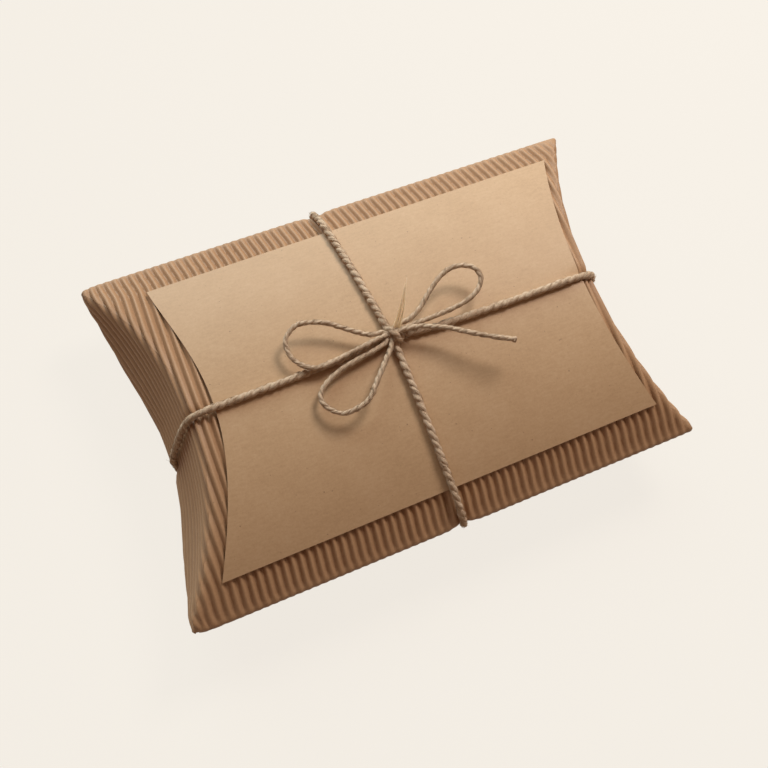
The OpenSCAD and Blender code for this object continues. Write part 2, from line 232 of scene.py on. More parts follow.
# How far the hand-made blank is from square, and where its left end bulges at the foot and swings out.
wider, taper, aside, aside_taper = 1.0245, 0.0335, 0.575 * mm, 0.325 * mm
foot_bulge, bulge_gap, bulge_share, swing = 1.4 * mm, 7 * mm, 0.83, 1 * mm
bulge_along, bulge_down = (45 * mm, 20 * mm), (-4 * mm, 14 * mm)
swing_along, swing_across = (58 * mm, 14 * mm), (14 * mm, 22 * mm)


def bow(y):
    """Rise of a panel over its long edges."""
    return np.sqrt(bow_r ** 2 - np.clip(np.abs(y), 0, half_w) ** 2) - bow_drop


def eased(x):
    """From 0 to 1 with a soft start and a soft end."""
    x = np.clip(x, 0, 1)
    return x * x * (3 - 2 * x)


def ramp(x, start, length):
    """The same, from a start and over a length."""
    return eased((x - start) / length)


def bell(x, width):
    """1 in the middle, fading away over a width."""
    return np.exp(-(x / width) ** 2)


def section(w):
    """Point (y, z) of the closed section: 0 at the far edge, over the top, round the near edge and back."""
    w = np.mod(w, 4 * half_arc)
    top = w < 2 * half_arc
    a = np.where(top, half_arc - w, w - 3 * half_arc) / bow_r
    return bow_r * np.sin(a), np.where(top, 1, -1) * (bow_r * np.cos(a) - bow_drop)


def soft_section(w, reach=1.1 * mm, samples=9):
    """The same section with its two folded edges rounded."""
    parts = [section(w + s * reach) for s in np.linspace(-1, 1, samples)]
    return sum(p[0] for p in parts) / samples, sum(p[1] for p in parts) / samples


def end_numbers(side, upper):
    """Reach of a crease along the box and its half length at the corners."""
    k = left_reach if side < 0 else right_reach
    return (k, box_len / 2) if upper else (1 / k, box_len / 2 - stack / (2 * k / (1 + k * k)))


def crease_at(side, upper, y):
    """How far from the middle of the box its crease lies."""
    k, half_len = end_numbers(side, upper)
    return half_len - k * bow(y)


def free_edge(side, upper, y):
    """How far the sheet reaches on a flap, measured flat along the box."""
    k, half_len = end_numbers(side, upper)
    return half_len + bow(y) / k if upper else half_len - k * bow(y) + bow(y) * inner_share * (k + 1 / k)


def lean(k):
    """Sine and cosine of a flap's lean from upright."""
    return (k * k - 1) / (k * k + 1), 2 * k / (k * k + 1)


def widened(x, y):
    """The hand-made blank is a little wider at its left end than at its right end, and a little out of square."""
    share = x / (box_len / 2)
    return y * (wider - taper * share) + aside + aside_taper * share


def handled(p):
    """What making and tying did to the board: the corner points knocked in, the near left one crushed, and the
    edges pressed in where the twine is drawn over them."""
    x, y, z = p[..., 0], p[..., 1], p[..., 2]
    p = np.stack([x, widened(x, y), z], -1)
    for end, edge, deep, wide in knocks:
        corner = np.array([end * box_len / 2, widened(end * box_len / 2, edge * half_w), mid_z])
        away = np.linalg.norm(p - corner, axis=-1)
        p = p + (deep * bell(away, wide))[..., None] * np.array([-end * knock_along, -edge * knock_across, 0])
        if end < 0 and edge < 0:
            fold = np.sin((p[..., 0] - corner[0]) / crumple_folds[0] + (p[..., 1] - corner[1]) / crumple_folds[1])
            ripple = crumple_h * fold * bell(away - crumple_at, crumple_w)
            p = p + ripple[..., None] * crumple_way * np.sign(p[..., 2:3] - mid_z + tiny)
    slipped = lash_y - np.where((x < 0) & (z < mid_z), foot_slip[-1], 0)
    under_twine = bell(y - slipped, groove_w)
    off_middle = np.sin(np.clip((np.abs(y - lash_y) - bulge_gap) / (bulge_share * half_w), 0, 1) * math.pi)
    bulge = foot_bulge * off_middle * ramp(-x, *bulge_along) * ramp(mid_z - z, *bulge_down)
    swung = swing * ramp(-y, *swing_across) * ramp(-x, *swing_along)
    p = p - (bulge + swung)[..., None] * np.array([1, 0, 0])
    for side, k in ((-1, left_reach), (1, right_reach)):
        foot = (box_len / 2 - rise / k, mid_z - rise, foot_bite, foot_wide, (-side, 0, 0))
        crest = (box_len / 2 - k * rise, mid_z + rise, crest_bite, crest_wide,
                 (-side * crest_way[0], 0, -crest_way[1]))
        for at_x, at_z, deep, wide, way in (foot, crest):
            away = np.hypot(x - side * at_x, z - at_z)
            p = p + (deep * under_twine * bell(away, wide))[..., None] * np.array(way)
    for at_x, edge in ((far_x, 1), (near_x, -1)):
        away = np.hypot((x - at_x) / fold_wide[0], (y - edge * half_w) / fold_wide[1])
        p = p + (fold_bite * bell(away, 1))[..., None] * np.array([0, -edge, 0])
    return p


crease_soft, inner_crease_soft, crease_steep, crease_least = {-1: 2.7 * mm, 1: 2 * mm}, 1.4 * mm, 1.1, 0.05 * mm


def bent(side, upper, u, y, z):
    """Place of a flat point u from the middle: on the panel or down the flap, rounded at the crease."""
    k, _ = end_numbers(side, upper)
    lean_sin, lean_cos = lean(k)
    crease = crease_at(side, upper, y)
    widest = crease_soft[side] if upper else inner_crease_soft
    w = widest * (1 - np.exp(-crease_steep * bow(y) / widest)) + crease_least
    s = u - crease
    before = np.where(s <= -w, s, np.where(s >= w, 0, -(w - s) ** 2 / (4 * w)))
    after = np.where(s >= w, s, np.where(s <= -w, 0, (w + s) ** 2 / (4 * w)))
    sign = 1 if upper else -1
    x = crease + before + after * lean_sin
    return handled(np.stack([side * x, y, z - sign * after * lean_cos + mid_z], -1))


def sheet_point(side, upper, u, w):
    """Place of the board's middle at u along the box and w round its section."""
    y, z = soft_section(w)
    return bent(side, upper, u, y, z)


def lifted(side, upper, u, w, height):
    """Points of a sheet that stands off the board's middle by a height that varies."""
    step = 0.05 * mm
    du = sheet_point(side, upper, u + step, w) - sheet_point(side, upper, u - step, w)
    dw = sheet_point(side, upper, u, w + step) - sheet_point(side, upper, u, w - step)
    normal = np.cross(dw, du) * side
    normal /= np.maximum(np.linalg.norm(normal, axis=-1, keepdims=True), least_normal)
    return sheet_point(side, upper, u, w) + normal * height[..., None]


# Flutes: two wavers (height, waves across and along), their lean near the folds, their round form and wear.
wavers = ((0.09 * mm, 61, 37), (0.05 * mm, 143, -91))
lean_far, lean_near, lean_reach = 1.4 * mm, 0.7 * mm, 11 * mm
roundness, valley_h, crest_loss, wear, wear_wave, wear_change = 0.78, 0.12 * mm, 0.02 * mm, 0.10, 47, 12.9898
# Crushing: at the folds, at the near left corner, where it is uneven, and at the far right corner.
fold_crush, fold_crush_w, flat_share = 0.85, 1.9 * mm, 0.66
near_left_x, near_left_w, near_left_crush, uneven, uneven_waves = -76 * mm, 9 * mm, 0.6, 0.4, (5100, 2300)
far_right_x, far_right_w, far_right_crush = 77 * mm, 5 * mm, 0.9


def flute(u, w):
    """Height of the fluted sheet over the liner: round ridges that waver a little and are crushed at the folds."""
    y, _ = section(w)
    waver = sum(high * np.sin(y * across_waves + u * along_waves) for high, across_waves, along_waves in wavers)
    to_fold = np.abs(np.mod(w + half_arc, 2 * half_arc) - half_arc)
    skew = np.where(y > 0, lean_far, lean_near) * eased(1 - to_fold / lean_reach)
    t = (u + waver + skew) / flute_pitch
    arch = (0.5 + 0.5 * np.cos(2 * np.pi * t)) ** roundness
    number = np.round(t)
    worn = 1 - wear * (0.5 + 0.5 * np.sin(number * wear_change) * np.cos(y * wear_wave + number))
    high = valley_h + (flute_h - valley_h - crest_loss) * arch * worn
    crushed = fold_crush * bell(to_fold, fold_crush_w)
    near_left = np.hypot(u - near_left_x, np.mod(w, 4 * half_arc) - 2 * half_arc)
    far_right = np.hypot(u - far_right_x, np.mod(w + half_arc, 4 * half_arc) - half_arc)
    unevenness = 1 - uneven + uneven * np.sin(u * uneven_waves[0] + w * uneven_waves[1])
    crushed = crushed + near_left_crush * bell(near_left, near_left_w) * unevenness
    crushed = np.clip(crushed + far_right_crush * bell(far_right, far_right_w), 0, 1)
    return high * (1 - crushed) + flat_share * flute_h * crushed


def only(obj):
    """Selects one piece and nothing else."""
    bpy.ops.object.select_all(action="DESELECT")
    obj.select_set(True)
    bpy.context.view_layer.objects.active = obj


def turned_out(obj, way):
    """Turns the faces round if they don't mostly look the given way."""
    if sum(p.normal.dot(Vector(way)) * p.area for p in obj.data.polygons) < 0:
        only(obj)
        bpy.ops.object.mode_set(mode="EDIT")
        bpy.ops.mesh.select_all(action="SELECT")
        bpy.ops.mesh.flip_normals()
        bpy.ops.object.mode_set(mode="OBJECT")


# The last number makes the painted valley shade stronger on the steep flaps, which get less light.
merge_gap, sliver, sharp_edge, flap_valley_shade = 0.02 * mm, 0.01 * mm, math.radians(50), 1.45


def bent_sheet(name, lengths, widths, place, thick, way, finish, slot, body, *cad):
    """A flat grid laid out to the given lengths and widths, bent into place, merged at the creases and thickened."""
    bpy.ops.object.select_all(action="DESELECT")
    bpy.ops.mesh.primitive_grid_add(x_subdivisions=len(lengths) - 1, y_subdivisions=len(widths) - 1, size=1,
                                    location=(0, 0, 0))
    obj = bpy.context.object
    obj.name = obj.data.name = name
    co = np.empty(len(obj.data.vertices) * 3)
    obj.data.vertices.foreach_get("co", co)
    flat = co.reshape(-1, 3)[:, :2] + 0.5
    u = np.interp(flat[:, 0] * (len(lengths) - 1), np.arange(len(lengths)), lengths)
    w = np.interp(flat[:, 1] * (len(widths) - 1), np.arange(len(widths)), widths)
    obj.data.vertices.foreach_set("co", place(u, w).reshape(-1))
    obj.data.update()
    # Painted shade: each point's depth in the flute valley, which the flute finish uses to darken the valleys.
    if slot == "flutes":
        is_flap = abs(way[0]) > 0.5
        depth = 1 - flute(u * way[0] if is_flap else u, w) / flute_h
        low = obj.data.attributes.new("low", "FLOAT", "POINT")
        low.data.foreach_set("value", depth * (flap_valley_shade if is_flap else 1))
    turned_out(obj, way)
    only(obj)
    bpy.ops.object.mode_set(mode="EDIT")
    bpy.ops.mesh.select_all(action="SELECT")
    bpy.ops.mesh.remove_doubles(threshold=merge_gap)
    bpy.ops.mesh.dissolve_degenerate(threshold=sliver)
    bpy.ops.object.mode_set(mode="OBJECT")
    solid = obj.modifiers.new("thickness", "SOLIDIFY")
    solid.thickness = thick
    solid.offset = -1
    bpy.ops.object.modifier_apply(modifier="thickness")
    bpy.ops.object.shade_smooth_by_angle(angle=sharp_edge)
    obj.data.materials.clear()
    obj.data.materials.append(finish)
    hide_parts(*cad)
    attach(obj, body)
    return obj


fold_rows = [0, 0.35 * mm, 0.7 * mm, 1.05 * mm, 1.4 * mm, 1.8 * mm, 2.3 * mm]
middle_rows, middle_room = np.arange(-6, 6.1, 0.75) * mm, 6.5 * mm
least_slant, widest_row = 0.01, 4 * mm


def spread(start, stop, slip):
    """Rows across a panel: close at its folded edges and under the twine, and close where the end creases slant
    across the flutes."""
    rows = list(fold_rows)
    half = (stop - start) / 2
    while rows[-1] < half:
        slant = math.tan((half_arc - rows[-1]) / bow_r)
        rows.append(rows[-1] + min(slip / max(left_reach * slant, least_slant), widest_row))
    first = np.array([row for row in rows if row < half - middle_room])
    return np.concatenate([start + first, start + half + middle_rows, (stop - first)[::-1]])


def level(u, w):
    """Height of the flat liner, which lies at the board's middle."""
    return u * 0


ridge_steps = np.array([0, 0.13, 0.26, 0.38, 0.5, 0.62, 0.74, 0.87]) - 0.5
ridges = np.concatenate([(i + ridge_steps) * flute_pitch for i in range(-36, 37)])
panel_ridges = ridges[np.abs(ridges) < 79 * mm]
liner_step, overrun = 0.9, 0.2 * mm
plain = np.concatenate([np.arange(-79, -50, liner_step), np.arange(-50, 50, 4.0),
                        np.arange(50, 79.5, liner_step)]) * mm
far, near = 0.0, 2 * half_arc
liner_slip, flute_slip = 1.6 * mm, 0.85 * mm
press, press_w, pressed_share = 0.75, 0.8 * mm, 0.55

for row, upper, start, stop in (("top", True, far, near), ("bottom", False, near, 2 * near)):
    def on_panel(u, w, height):
        y, _ = soft_section(w)
        u = np.clip(u, -crease_at(-1, upper, y), crease_at(1, upper, y))
        h = height(u, w)
        return np.where((u > 0)[:, None], lifted(1, upper, u, w, h), lifted(-1, upper, -u, w, h))

    up = (0, 0, 1 if upper else -1)
    bent_sheet(f"liner_{row}", plain, spread(start, stop, liner_slip), lambda u, w: on_panel(u, w, level),
               liner_t, up, liner_finish, "liner", "box", f"{row}_liner")
    bent_sheet(f"fluted_{row}", panel_ridges, spread(start, stop, flute_slip), lambda u, w: on_panel(u, w, flute),
               fluted_t, up, flute_finish, "flutes", "box", f"{row}_flutes")

for side, end in ((-1, "left"), (1, "right")):
    for upper, row in ((True, "outer"), (False, "inner")):
        start, stop = (far, near) if upper else (near, 2 * near)
        first = float(crease_at(side, upper, np.array(0.0))) - overrun
        last = max(float(free_edge(side, upper, np.array(0.0))), box_len / 2) + overrun

        def on_flap(u, w, height):
            y, _ = soft_section(w)
            low = crease_at(side, upper, y)
            edge = free_edge(side, upper, y)
            u = np.clip(u, low, np.maximum(edge, low))
            h = height(side * u, w)
            pressed = press * bell(edge - u, press_w) if upper else 0
            return lifted(side, upper, u, w, h * (1 - pressed) + pressed_share * np.max(h) * pressed)

        bent_sheet(f"liner_{end}_{row}_flap", np.arange(first, last, liner_step * mm),
                   spread(start, stop, liner_slip), lambda u, w: on_flap(u, w, level), liner_t,
                   (side, 0, 0), liner_finish, "liner", f"{end}_{row}_flap", f"{end}_{row}_flap_liner")
        rows = np.concatenate([[first], ridges[(ridges > first) & (ridges < last)], [last]])
        bent_sheet(f"fluted_{end}_{row}_flap", rows, spread(start, stop, flute_slip),
                   lambda u, w: on_flap(u, w, flute), fluted_t, (side, 0, 0), flute_finish, "flutes",
                   f"{end}_{row}_flap", f"{end}_{row}_flap_flutes")

# ---------------------------------------------------------------- glue tab
# A strip of the same liner along the far edge of the blank. It is folded in and stuck under the upper panel,
# and closes the board into a sleeve.


def skin(name, finish):
    """Gives a solid that stays its finish."""
    nodes[name].data.materials.clear()
    nodes[name].data.materials.append(finish)


skin("glue_tab", liner_finish)

# ---------------------------------------------------------------- glue
# Thin dried paper glue, a little cloudy. It holds the tab inside the far edge, and a second film holds the label
# on the flutes.

glue = Finish("dried_glue")
cloudy = glue.noise(glue.place(), 140)
glue.put(glue.surface, {"Base Color": glue.mix(cloudy, (0.78, 0.70, 0.50, 1), (0.62, 0.52, 0.34, 1)),
                        "Roughness": 0.25 + cloudy * 0.3})
skin("tab_glue", glue.material)

# ---------------------------------------------------------------- label sheet
# A plain sheet of smooth kraft paper, bent over the flutes and stuck down with paste over nearly all of its back.
# Its two ends are cut by hand along hollow curves.

label_grain = 0.025 * mm
label_finish = kraft("kraft_label", (0.50, 0.308, 0.170, 1), (0.585, 0.385, 0.235, 1), (0.385, 0.225, 0.115, 1),
                     0.52, label_grain)
near_side, far_side, side_skew = -42.4 * mm, 42.3 * mm, (0.9 * mm, 0.5 * mm)
left_cut, right_cut, cut_unit = (2.72, 1.32, -12.54, 1.51, -50.92), (0.03, 6.82, 0.08, 61.61), 40 * mm
label_lift, label_t, paste_lift, paste_t, label_bend = 1.62 * mm, 0.22 * mm, 1.39 * mm, 0.15 * mm, 1.6 * mm
pasted = 0.03, 0.97


def on_label(t, across_share, height):
    """Point of the sheet at a share of its length and width."""
    near_y, far_y = near_side + side_skew[0] * t, far_side + side_skew[1] * t
    y = near_y + (far_y - near_y) * across_share
    left, right = (np.polyval(cut, y / cut_unit) * mm for cut in (left_cut, right_cut))
    u = left + (right - left) * t
    w = half_arc - bow_r * np.arcsin(y / (bow_r + label_bend))
    h = np.full(len(u), height)
    return np.where((u > 0)[:, None], lifted(1, True, u, w, h), lifted(-1, True, -u, w, h))


bent_sheet("label", np.linspace(0, 1, 70), np.linspace(0, 1, 60), lambda t, s: on_label(t, s, label_lift),
           label_t, (0, 0, 1), label_finish, "label", "box", "label_sheet")
bent_sheet("label_paste", np.linspace(*pasted, 60), np.linspace(*pasted, 50),
           lambda t, s: on_label(t, s, paste_lift), paste_t, (0, 0, 1), glue.material, "glue", "box", "label_glue")

# ---------------------------------------------------------------- twine
# Jute twine laid up from two plies. It goes round the box both ways and is drawn tight at the knot.
# Broken fibres stand off it all along.

twine_r, low_off, top_off, foot_off = 1.1 * mm, 2.32 * mm, 2.78 * mm, 1.15 * mm
lay_tight = 5.2 * mm
lash_z = mid_z + rise + top_off


def evenly(points, step):
    """The same line with a point at every step, and the length at each."""
    p = np.array(points, float)
    s = np.concatenate([[0], np.cumsum(np.linalg.norm(np.diff(p, axis=0), axis=1))])
    t = np.linspace(0, s[-1], max(int(round(s[-1] / step)), 4) + 1)
    return np.stack([np.interp(t, s, p[:, i]) for i in range(3)], -1), t


def curve_through(points, n):
    """Smooth line through route points."""
    p = [np.array(q, float) for q in points]
    out = []
    for i in range(len(p) - 1):
        a, b, c, d = p[max(i - 1, 0)], p[i], p[i + 1], p[min(i + 2, len(p) - 1)]
        for t in np.arange(n) / n:
            out.append(0.5 * (2 * b + (c - a) * t + (2 * a - 5 * b + 4 * c - d) * t * t
                              + (3 * b - a - 3 * c + d) * t ** 3))
    return np.array(out + [p[-1]])


def across(path):
    """Direction of a line at each point, and two directions square to it that don't twist."""
    t = np.gradient(path, axis=0)
    t /= np.linalg.norm(t, axis=1, keepdims=True)
    s = np.cross([0, 0, 1.0] if abs(t[0][2]) < 0.9 else [1.0, 0, 0], t[0])
    sides = []
    for d in t:
        s = s - d * s.dot(d)
        s /= np.linalg.norm(s)
        sides.append(s)
    sides = np.array(sides)
    return t, sides, np.cross(t, sides)


def waves(s, *parts):
    """Sum of waves along a length, each given as its height, its rate and its start."""
    return sum(high * np.sin(s * rate + start) for high, rate, start in parts)


class Bundle:
    """Tubes of fibre gathered into one mesh, with a map along and round each of them."""

    strand_step, map_step, least_map_r = 0.36 * mm, 0.3 * mm, 0.05 * mm
    ply_share, ply_sides, end_swell, round_it = 0.71, 10, 0.30, 6.28
    # Fibres bound on the twine: how many to each mm, how thick, and the hump in which each lies on it.
    bound_fibres, bound_r, bound_root, bound_hump, bound_arc = 2.2, 0.045 * mm, 0.86, 0.20, 3.1
    # Stray hairs: their points and thickness, where they come out, and how they stand off and curl.
    hair_along, hair_r = np.array([0, 0.3, 0.65, 1.0])[:, None], np.array([0.036, 0.034, 0.028, 0.014]) * mm
    hair_root, hair_off, hair_rise, hair_curl = 0.7, 0.15, 0.3, 0.2

    def __init__(self):
        self.verts, self.faces, self.marks, self.count = [], [], [], 0

    def tube(self, path, radius, sides, length=None):
        t, sd, up = across(path)
        around = 2 * np.pi * np.arange(sides) / sides
        ring = np.cos(around)[None, :, None] * sd[:, None] + np.sin(around)[None, :, None] * up[:, None]
        self.verts.append((path[:, None] + ring * np.asarray(radius)[:, None, None]).reshape(-1, 3))
        n, f = len(path), self.count
        s = np.arange(n) * self.map_step if length is None else length
        for i in range(n - 1):
            r = 2 * np.pi * max(float(radius[i]), self.least_map_r) / sides
            a, b = f + i * sides, f + (i + 1) * sides
            for j in range(sides):
                k = (j + 1) % sides
                self.faces.append((a + j, a + k, b + k, b + j))
                self.marks += [(s[i], j * r), (s[i], (j + 1) * r), (s[i + 1], (j + 1) * r), (s[i + 1], j * r)]
        for i, order in ((0, reversed(range(sides))), (n - 1, range(sides))):
            self.faces.append(tuple(f + i * sides + j for j in order))
            self.marks += [(s[i], 0)] * sides
        self.count += n * sides

    def strand(self, points, radius, lay, seed, hairs=3.0, hair_len=2.4, fat_end=0.0):
        """Twisted two-ply twine along a line, with uneven plies, bound fibres on its surface and stray hairs."""
        rng = random.Random(seed)
        path, s = evenly(points, self.strand_step)
        t, sd, up = across(path)
        thick = 1 + waves(s, (0.05, 700, seed), (0.04, 1900, 2 * seed))
        if fat_end:
            thick *= 1 + self.end_swell * eased(1 - (s[-1] - s) / fat_end)
        turn = seed - 2 * np.pi * s / lay + waves(s, (0.5, 310, seed))
        ply_r = radius * self.ply_share
        orbit = (radius - ply_r) * thick
        for p in (0, 1):
            a = turn + np.pi * p
            middle = path + orbit[:, None] * (np.cos(a)[:, None] * sd + np.sin(a)[:, None] * up)
            lump = 1 + waves(s, (0.08, 1300, 3 * p + seed), (0.05, 3700, 5 * p))
            self.tube(middle, ply_r * thick * lump, self.ply_sides, s)
        for _ in range(int(s[-1] / mm * self.bound_fibres)):
            i = rng.randrange(1, len(path) - 9)
            a0, wind = rng.uniform(0, self.round_it), rng.uniform(0.3, 1.2)
            j = np.arange(i, min(i + rng.randrange(6, 14), len(path)))
            a = a0 - 2 * np.pi * (s[j] - s[i]) / lay * wind
            hump = self.bound_root + self.bound_hump * np.sin(np.linspace(0, self.bound_arc, len(j)))
            off = radius * hump * thick[j]
            self.tube(path[j] + off[:, None] * (np.cos(a)[:, None] * sd[j] + np.sin(a)[:, None] * up[j]),
                      np.full(len(j), self.bound_r), 3)
        for _ in range(int(s[-1] / mm * hairs / 3)):
            i = rng.randrange(1, len(path) - 1)
            a = rng.uniform(0, self.round_it)
            out = np.cos(a) * sd[i] + np.sin(a) * up[i]
            way = t[i] * rng.choice((-1, 1))
            long = hair_len * mm * rng.uniform(0.2, 1.0) ** 1.5
            curl = np.array([rng.uniform(-1, 1), rng.uniform(-1, 1), rng.uniform(-0.5, 1)])
            start, q = path[i] + out * radius * self.hair_root, self.hair_along
            rising = self.hair_off + self.hair_rise * q
            hair = start + way * long * q + out * long * rising * q + curl * long * self.hair_curl * q * q
            self.tube(hair, self.hair_r, 3)

    def piece(self, name, finish):
        """The object made of all the tubes."""
        mesh = bpy.data.meshes.new(name)
        mesh.from_pydata(np.concatenate(self.verts).tolist(), [], self.faces)
        mesh.uv_layers.new(name="fibre").data.foreach_set("uv", np.array(self.marks, float).reshape(-1))
        mesh.update()
        obj = bpy.data.objects.new(name, mesh)
        bpy.context.scene.collection.objects.link(obj)
        only(obj)
        bpy.ops.object.shade_smooth()
        mesh.materials.append(finish)
        return obj


def jute(name, base, pale, dark, thin=0.0):
    """Jute fibre: dry, with fine streaks of straw and brown along the plies; loose fibres let light through."""
    streak_share, patch_share, rough, rough_change, shine = 2.4, 1.6, 0.8, 0.2, 0.3
    f = Finish(name)
    marks = f.add("ShaderNodeUVMap", {"uv_map": "fibre"}, {})
    streak = f.noise(marks, 1000, 3, 0.65, (0.35, 5.0, 1.0))
    patch = f.noise(f.place(), 330, 3, 0.6)
    tone = (streak - noise_middle) * streak_share + (patch - noise_middle) * patch_share
    colour = f.toned(tone, base, pale, dark)
    f.put(f.surface, {"Base Color": colour, "Roughness": rough + (streak - noise_middle) * rough_change,
                      "Normal": f.bump(streak, 0.8, 0.12 * mm)})
    f.surface.inputs["Specular IOR Level"].default_value = shine
    if thin:
        through = f.add("ShaderNodeBsdfTranslucent", {}, {0: colour})
        both = f.add("ShaderNodeMixShader", {}, {0: thin, 1: Value(f, f.surface.outputs[0]), 2: through})
        f.put(f.output, {"Surface": both})
    return f.material


twine_finish = jute("jute_twine", (0.54, 0.385, 0.262, 1), (0.73, 0.56, 0.41, 1), (0.285, 0.175, 0.105, 1))
pull, pull_left, pull_right = 2.2 * mm, 14 * mm, 8 * mm


def drawn(x):
    """How far the knot draws the lengthwise twine towards the far side."""
    return pull * math.exp(-abs(x - knot_x) / (pull_left if x < knot_x else pull_right))


def end_route(side):
    """From the knot along the top, over the soft crest, down the flap and round its foot."""
    k, _ = end_numbers(side, True)
    lean_sin, lean_cos = lean(k)
    crease = float(crease_at(side, True, lash_y))
    last = float(free_edge(side, True, lash_y))
    first_x, near_crest = knot_x + side * 1.5 * mm, crease - 6 * mm
    pts = [[first_x, lash_y + drawn(first_x), lash_z]]
    for u in list(np.arange(7 * mm, near_crest, 4 * mm)) + list(np.linspace(near_crest, last, 26)):
        off = top_off + (low_off - top_off) * float(ramp(u, crease - 5 * mm, 9 * mm))
        off += (foot_off - low_off) * float(ramp(u, last - 6 * mm, 6 * mm))
        slip = foot_slip[side] * min(max((u - crease) / (last - crease), 0), 1)
        w = half_arc - bow_r * math.asin((lash_y - slip) / bow_r)
        p = lifted(side, True, np.array([u]), np.array([w]), np.array([off]))[0]
        pts.append([p[0], lash_y + drawn(p[0]) - slip, p[2]])
    foot = np.array([side * (box_len / 2 - rise / k - foot_bite), lash_y - foot_slip[side], mid_z - rise])
    for a in np.linspace(0.18, 1, 6) * (math.pi / 2 + math.atan2(lean_sin, lean_cos)):
        way = np.array([side * (lean_cos * math.cos(a) + lean_sin * math.sin(a)), 0,
                        lean_sin * math.cos(a) - lean_cos * math.sin(a)])
        pts.append(list(foot + way * foot_off))
    return np.array(pts), crease


for side, end in ((-1, "left"), (1, "right")):
    route, crease = end_route(side)
    twine = Bundle()
    twine.strand(curve_through(route, 2), twine_r, lay_tight, 3 + side, hairs=5)
    piece = twine.piece(f"twine_{end}_lengthwise", twine_finish)
    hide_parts(f"twine_top_{end}", f"twine_{end}_end")
    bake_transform(piece)


def under_box():
    """From foot to foot under the box; the twine hangs a little lower away from the feet."""
    left, right = rise / left_reach + foot_bite - box_len / 2, box_len / 2 - rise / right_reach - foot_bite
    line = []
    for x in np.linspace(left, right, 30):
        slip = foot_slip[-1] * float(eased(-x / (60 * mm)))
        off = foot_off + (low_off - foot_off) * float(eased(min(x - left, right - x) / (9 * mm)))
        line.append([x, lash_y - slip, mid_z - rise - off])
    return line


twine = Bundle()
twine.strand(under_box(), twine_r, lay_tight, 11)
piece = twine.piece("twine_under_lengthwise", twine_finish)
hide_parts("twine_bottom_long")
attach(piece, "box")


def round_box():
    """From the knot over the top and the far fold, back under the box, stepping over the lengthwise twine, and over
    the near fold to the knot. Here w runs round the section from the far fold, and the twine lies on the board."""
    fold_near, close_by, beside = -2 * half_arc, 2.5 * mm, 4 * mm
    step_w, step_h = 9 * mm, 2.22 * mm
    line = []
    for w in np.concatenate([np.linspace(half_arc - 4.4 * mm, beside, 14), np.linspace(close_by, -close_by, 7),
                             np.linspace(-beside, fold_near + beside, 44),
                             fold_near + np.linspace(close_by, -close_by, 7),
                             np.linspace(fold_near - beside, fold_near - half_arc - 1 * mm, 14)]):
        on_top = w > 0 or w < fold_near
        y, _ = section(w)
        if on_top:
            edge = far_x if w > 0 else near_x
            x = knot_x + (edge - knot_x) * (y - lash_y) / ((half_w if w > 0 else -half_w) - lash_y)
        else:
            x = near_x + (far_x - near_x) * (y + half_w) / (2 * half_w)
        to_fold = min(abs(w), abs(w - fold_near))
        at_fold = (1.85 if abs(w) < half_arc else 1.4) * mm
        off = at_fold + ((top_off if on_top else low_off) - at_fold) * float(ramp(to_fold, 1 * mm, 7 * mm))
        if not on_top and abs(y - lash_y) < step_w:
            off += step_h * (1 + math.cos(math.pi * (y - lash_y) / step_w)) / 2
        line.append(lifted(1, True, np.array([x]), np.array([float(w)]), np.array([off]))[0])
    return line


twine = Bundle()
twine.strand(curve_through(round_box(), 3), twine_r, lay_tight, 7, hairs=4)
piece = twine.piece("twine_crosswise", twine_finish)
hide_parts("twine_top_far", "twine_top_near", "twine_bottom_cross")
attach(piece, "box")

# ---------------------------------------------------------------- bow
# The two ends of the twine are tied over the crossing in a loose bow: three loops, a long cut tail and a short,
# frayed one. The loops lie over the label and stand a little off it. Their routes are in mm from the knot.

knot = np.array([knot_x + 0.5 * mm, lash_y + 0.5 * mm, lash_z])
bow_thick, lay_loose = 1.5 * mm, 4.4 * mm
left_loop = [[-1.4, 2.3, 1.6], [-3.4, 3.1, 1.9], [-6.7, 3.5, 2.4], [-11.5, 6.7, 2.8], [-16.8, 10.7, 3.2],
             [-21.7, 12.7, 3.4], [-25, 13.2, 3.3], [-27.9, 11.9, 3.1], [-29.5, 10.2, 2.8], [-30, 7.8, 2.5],
             [-29.6, 4.8, 2.3], [-28, 2.3, 2.1], [-26, 0.6, 2], [-23.6, -0.4, 1.9], [-20, -0.4, 1.9],
             [-15, 0.3, 2.0], [-8, 1.1, 2.3], [-3.9, 1.6, 2.3], [-1.5, 1.9, 1.8]]
near_loop = [[-1, 0.6, 1.5], [-2.4, -2.2, 1.8], [-5.3, -5.4, 2.6], [-7.6, -8, 3.1], [-10, -10.6, 3.3],
             [-12.1, -13.1, 3.1], [-14.8, -14.9, 2.8], [-18.5, -15.6, 2.3], [-22, -15.2, 1.9],
             [-24.7, -12.8, 1.7], [-26, -9.9, 1.5], [-25.3, -7.4, 1.4], [-22.7, -5.2, 1.3], [-19.3, -3.6, 1.3],
             [-15.3, -2.4, 1.3], [-8, -1.2, 1.3], [-3.8, -0.3, 1.4], [-1.5, 0.9, 1.4]]
right_loop = [[0.2, 2.6, 1.8], [2.4, 3.6, 2.1], [5.6, 3.9, 2.6], [9, 5.4, 3], [12.2, 8, 3.3], [15.7, 10.8, 3.6],
              [19.3, 12.9, 3.9], [23, 13.7, 4.2], [26.3, 12.8, 4.5], [28.4, 11, 4.8], [29.1, 8.4, 4.8],
              [28.3, 6.4, 4.6], [26.2, 4.3, 4.3], [22.7, 2.9, 3.7], [18.6, 2.4, 3.1], [14.1, 2.2, 2.7],
              [8.2, 2.1, 2.4], [4.1, 2, 2.2], [0.9, 1.9, 1.8]]
long_tail = [[0.5, 1.6, 2.6], [3.4, 1.1, 3.5], [7.2, 0.4, 4], [11, -1.4, 4.5], [14.9, -3.5, 5],
             [18.3, -6, 5.6], [21.8, -8.4, 6], [25.4, -10.7, 6.3], [29.1, -12.7, 6.4], [30.6, -13.6, 6.4]]
